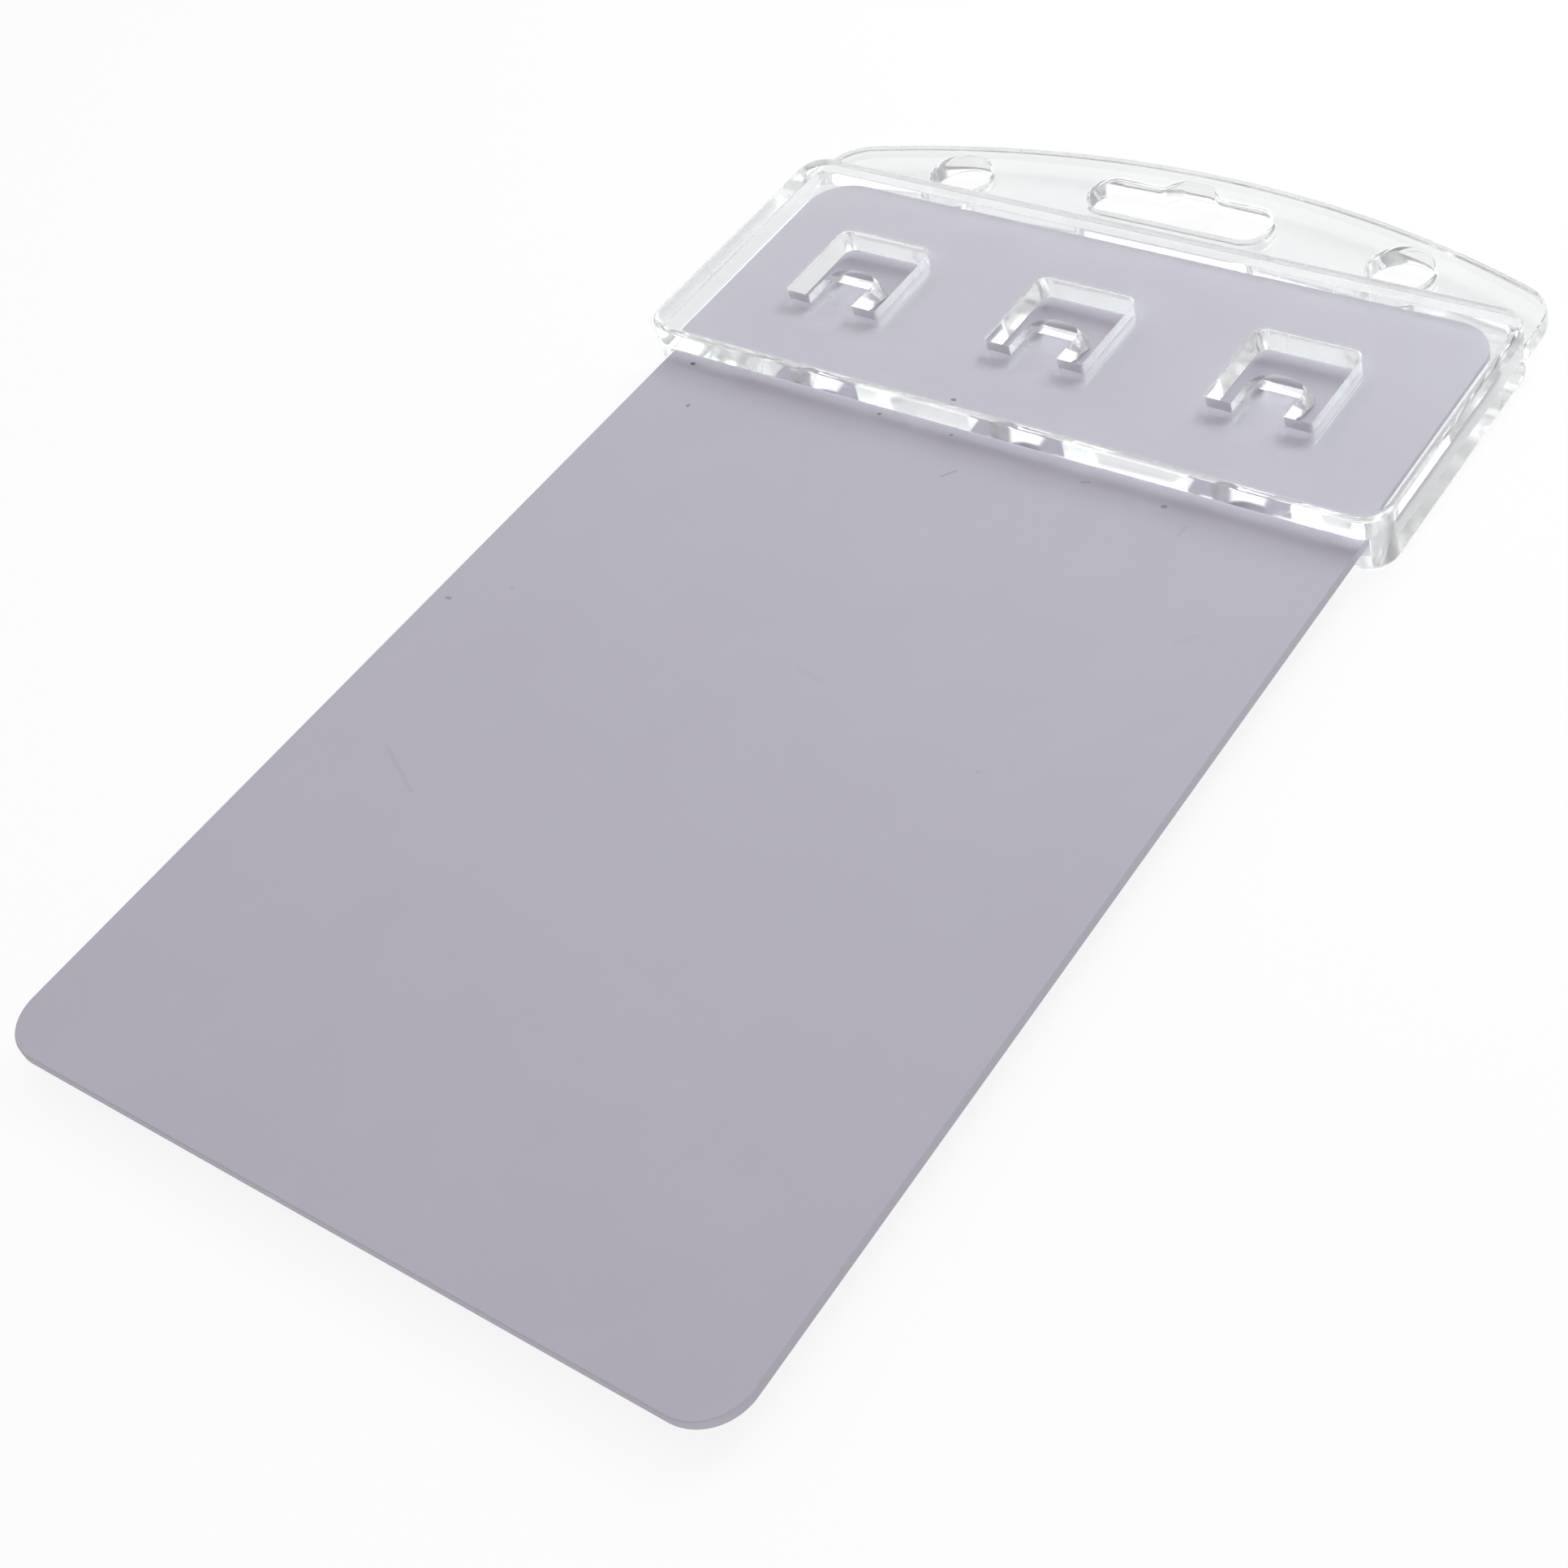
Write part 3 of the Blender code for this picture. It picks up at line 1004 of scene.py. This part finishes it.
    def holds(self, face: bmesh.types.BMFace, middle: float) -> bool:
        """Whether a face of the welded holder belongs to a tongue.

        Args:
            face: the face to place.
            middle: x of the tongue's middle.

        Returns:
            True where the whole face lies on the tongue.
        """
        slack, half = self.window_edge_radius / 2, self.width / 2
        return all(
            abs(corner.co.x - middle) < half + slack
            and self.root - slack < corner.co.y < self.root + self.length + slack
            and corner.co.z > self.body.card_top
            for corner in face.verts
        )


@dataclass
class Holder:
    """The welded mouldings with their tongues, cut into one piece for each moulding and each tongue.

    The pieces meet at shared edges and have no faces inside the plastic, as in the real weld.
    """

    body: BodySizes
    back: BackMoulding
    tongues: GripTongues
    finish: ClearPlastic
    seam_slack: float = 0.00004

    def welded(self) -> Object:
        """Both mouldings and the tongues as one closed solid.

        Returns:
            The new solid.
        """
        body = self.body
        solid = self.back.blank()
        radius, steps = body.edge_radius, body.edge_steps
        plate = Slab("cover_blank", body.outline(), body.seam, body.top, 0, radius, steps).plate()
        for middle in self.tongues.middles:
            Solid.change(plate, self.tongues.window(middle), Cut.REMOVE)
            Solid.change(plate, self.tongues.blank(middle), Cut.JOIN)
        Solid.change(solid, plate, Cut.JOIN)
        return solid

    def owner(self, face: bmesh.types.BMFace) -> str:
        """Name of the piece that a face of the welded holder belongs to.

        Args:
            face: the face to place.

        Returns:
            The piece's name.
        """
        for body, middle in zip(self.tongues.bodies, self.tongues.middles):
            if self.tongues.holds(face, middle):
                return body.value
        seam, slack = self.body.seam, self.seam_slack
        heights = [corner.co.z for corner in face.verts]
        on_cover = max(heights) > seam + slack or (min(heights) > seam - slack and face.normal.z < 0)
        return "front_moulding" if on_cover else "back_moulding"

    def cut(self, solid: Object) -> dict[str, Object]:
        """Cut the welded solid into its pieces, and remove it.

        Args:
            solid: the welded solid.

        Returns:
            The pieces, by name.
        """
        shape = bmesh.new()
        shape.from_mesh(solid.data)
        tongues = self.tongues
        step = tongues.ramp_start / tongues.flexing_steps
        for index in range(tongues.flexing_steps + 1):
            near = [
                face for face in shape.faces
                if index == 0 or any(tongues.holds(face, middle) for middle in tongues.middles)
            ]
            parts = near + list({edge for face in near for edge in face.edges})
            parts += list({corner for face in near for corner in face.verts})
            bmesh.ops.bisect_plane(
                shape, geom=parts, dist=SAME_PLACE, plane_co=(0, tongues.root + index * step, 0),
                plane_no=(0, 1, 0),
            )
        shape.normal_update()
        owners = [self.owner(face) for face in shape.faces]
        pieces = {}
        for name in sorted(set(owners)):
            part = shape.copy()
            others = [face for face, owner in zip(part.faces, owners) if owner != name]
            bmesh.ops.delete(part, geom=others, context="FACES")
            mesh = bpy.data.meshes.new(name)
            part.to_mesh(mesh)
            part.free()
            pieces[name] = placed(name, mesh)
        shape.free()
        discard(solid)
        return pieces

    def build(self) -> list[Object]:
        """Build the holder and let its pieces stand for the CAD's solids.

        Returns:
            The new pieces.
        """
        pieces = self.cut(self.welded())
        clear = self.finish.build("clear_plastic")
        roles = {
            "back_moulding": ("back_plate", "clear_back"),
            "front_moulding": ("front_cover", "clear_cover"),
        }
        for name, (node, slot) in roles.items():
            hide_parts(node)
            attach(pieces[name], Body.HOLDER.value)
        tongues = self.tongues
        for body, node, middle in zip(tongues.bodies, tongues.nodes, tongues.middles):
            piece = pieces[body.value]
            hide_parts(node)
            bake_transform(piece)
        for piece in pieces.values():
            Solid.shade(piece)
            piece.data.materials.append(clear)
        return list(pieces.values())


@dataclass
class PlainCard:
    """The plain plastic card."""

    body: BodySizes
    finish: SatinCard
    corner_radius: float = 0.00318
    edge_radius: float = 0.00008
    aside: float = 0.00035
    corner_steps: int = 24
    edge_steps: int = 3

    def build(self) -> Object:
        """Build the card and let it stand for the CAD's card.

        Returns:
            The new piece.
        """
        body, radius = self.body, self.edge_radius
        half, top = body.card_width / 2, body.card_top
        outline = Outline.rectangle(
            (self.aside - half, body.card_free_end), (self.aside + half, body.card_held_end),
            self.corner_radius, self.corner_radius, self.corner_steps,
        )
        low = top - body.card_thickness
        piece = Slab("plain_card", outline, low, top, radius, radius, self.edge_steps).plate()
        Solid.shade(piece)
        piece.data.materials.append(self.finish.build("satin_card_plastic"))
        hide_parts("id_card")
        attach(piece, Body.CARD.value)
        return piece


@dataclass(frozen=True)
class Softbox:
    """Large soft lamp that neither the camera nor a reflection shows."""

    name: str
    place: Place
    size: Point
    power: float
    colour: Colour = (1.0, 1.0, 1.0)
    spread: float = 180.0
    passes_plastic: bool = True

    def build(self) -> None:
        """Build the lamp, aimed at the holder."""
        data = bpy.data.lights.new(self.name, "AREA")
        data.shape = "RECTANGLE"
        data.size, data.size_y = self.size
        data.energy = self.power
        data.color = self.colour
        data.spread = math.radians(self.spread)
        lamp = placed(self.name, data)
        lamp.location = self.place
        lamp.rotation_mode = "QUATERNION"
        lamp.rotation_quaternion = (-lamp.location).to_track_quat("-Z", "Y")
        lamp.visible_camera = False
        lamp.visible_glossy = False
        lamp.visible_transmission = self.passes_plastic


@dataclass
class Studio:
    """White table, soft lights and the camera."""

    floor_size: float = 3.0
    white: Colour = (0.9, 0.9, 0.9)
    direct_share: float = 0.88
    backdrop_strength: float = 0.95
    through_share: float = 0.62
    through_strength: float = 0.8
    floor_drop: float = 0.00005
    glow_direction: Place = (-0.47, 0.53, 0.7)
    glow_inner_angle: float = 28.0
    glow_outer_angle: float = 56.0
    glow_strength: float = 1.3
    room_strength: float = 0.4
    softboxes: tuple[Softbox, ...] = (
        Softbox("key_softbox", (0.042, 0.14, 0.13), (0.1, 0.1), 0.18, (0.9, 1.0, 0.9)),
        Softbox("fill_softbox", (0.2, -0.26, 0.013), (0.2, 0.02), 0.016, spread=30.0, passes_plastic=False),
    )
    camera_place: Place = (0.085814, -0.078391, 0.107252)
    camera_aim: Place = (0.008276, -0.002028, 0.00226)
    camera_roll: float = 16.224
    lens: float = 58.268
    sensor: float = 36.0
    shift: Point = (-0.08756, -0.06896)
    nearest_seen: float = 0.005
    furthest_seen: float = 10.0
    light_bounces: int = 40

    def build_floor(self) -> None:
        """Build the table's surface, which shows white to the camera and keeps the holder's soft shadow."""
        half = self.floor_size / 2
        mesh = bpy.data.meshes.new("table")
        level = -self.floor_drop
        corners = [(-half, -half, level), (half, -half, level), (half, half, level), (-half, half, level)]
        mesh.from_pydata(corners, [], [(0, 1, 2, 3)])
        floor = placed("table", mesh)
        material = bpy.data.materials.new("white_table")
        material.use_nodes = True
        nodes = Nodes(material.node_tree)
        shader = material.node_tree.nodes["Principled BSDF"]
        shader.inputs["Base Color"].default_value = (*self.white, 1)
        shader.inputs["Roughness"].default_value = 1.0
        shader.inputs["Specular IOR Level"].default_value = 0.0
        path = nodes.add("LightPath", {})
        seen = path.outputs["Is Camera Ray"]
        through = nodes.math("MAXIMUM", path.outputs["Is Glossy Ray"], path.outputs["Is Transmission Ray"])
        direct = nodes.math("MULTIPLY", seen, self.direct_share)
        share = nodes.math("MULTIPLY_ADD", through, self.through_share, direct)
        strength = nodes.math("MULTIPLY_ADD", seen, 1.0 - self.through_strength, self.through_strength)
        glow = nodes.add("Emission", {"Strength": strength})
        mix = nodes.add("MixShader", {0: share, 1: shader.outputs[0], 2: glow.outputs[0]})
        nodes.feed(material.node_tree.nodes["Material Output"].inputs["Surface"], mix.outputs[0])
        mesh.materials.append(material)

    def build_world(self) -> None:
        """Build the room's light: a wide soft lamp behind the holder in a dimmer room."""
        world = bpy.data.worlds.new("studio")
        bpy.context.scene.world = world
        world.use_nodes = True
        nodes = Nodes(world.node_tree)
        background = world.node_tree.nodes["Background"]
        background.inputs["Color"].default_value = (1, 1, 1, 1)
        way = nodes.add("TexCoord", {}).outputs["Generated"]
        towards = nodes.measure("DOT_PRODUCT", way, tuple(Vector(self.glow_direction).normalized()))
        outer = math.cos(math.radians(self.glow_outer_angle))
        inner = math.cos(math.radians(self.glow_inner_angle))
        glow = nodes.ramp(towards, outer, inner, self.room_strength, self.glow_strength)
        seen = nodes.add("LightPath", {}).outputs["Is Camera Ray"]
        inputs = {"Factor": seen, "A": glow, "B": self.backdrop_strength}
        strength = nodes.add("Mix", inputs, data_type="FLOAT").outputs["Result"]
        nodes.feed(background.inputs["Strength"], strength)

    def build_camera(self) -> None:
        """Build the camera at the photograph's place."""
        data = bpy.data.cameras.new("camera")
        data.lens = self.lens
        data.sensor_width = self.sensor
        data.shift_x, data.shift_y = self.shift
        data.clip_start = self.nearest_seen
        data.clip_end = self.furthest_seen
        camera = placed("camera", data)
        place, aim = Vector(self.camera_place), Vector(self.camera_aim)
        turn = (aim - place).to_track_quat("-Z", "Y").to_matrix().to_4x4()
        roll = Matrix.Rotation(math.radians(-self.camera_roll), 4, "Z")
        camera.matrix_world = Matrix.Translation(place) @ turn @ roll
        bpy.context.scene.camera = camera

    def build(self) -> None:
        """Build the whole studio."""
        self.build_floor()
        self.build_world()
        for softbox in self.softboxes:
            softbox.build()
        self.build_camera()
        scene = bpy.context.scene
        scene.view_settings.view_transform = "Standard"
        scene.cycles.blur_glossy = 0
        scene.cycles.max_bounces = self.light_bounces
        scene.cycles.glossy_bounces = self.light_bounces
        scene.cycles.transmission_bounces = self.light_bounces


def main() -> None:
    """Load the frame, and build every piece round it."""
    logging.basicConfig(level=logging.INFO, format="%(message)s")
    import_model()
    body = BodySizes()
    effects = Effects()
    pieces = Holder(body, BackMoulding(body), GripTongues(body), ClearPlastic(effects)).build()
    pieces += [PlainCard(body, SatinCard(effects, face_height=body.card_top)).build()]
    for piece in pieces:
        LOG.info("%s: %d faces", piece.name, len(piece.data.polygons))
    Studio().build()


if __name__ == "__main__":
    main()
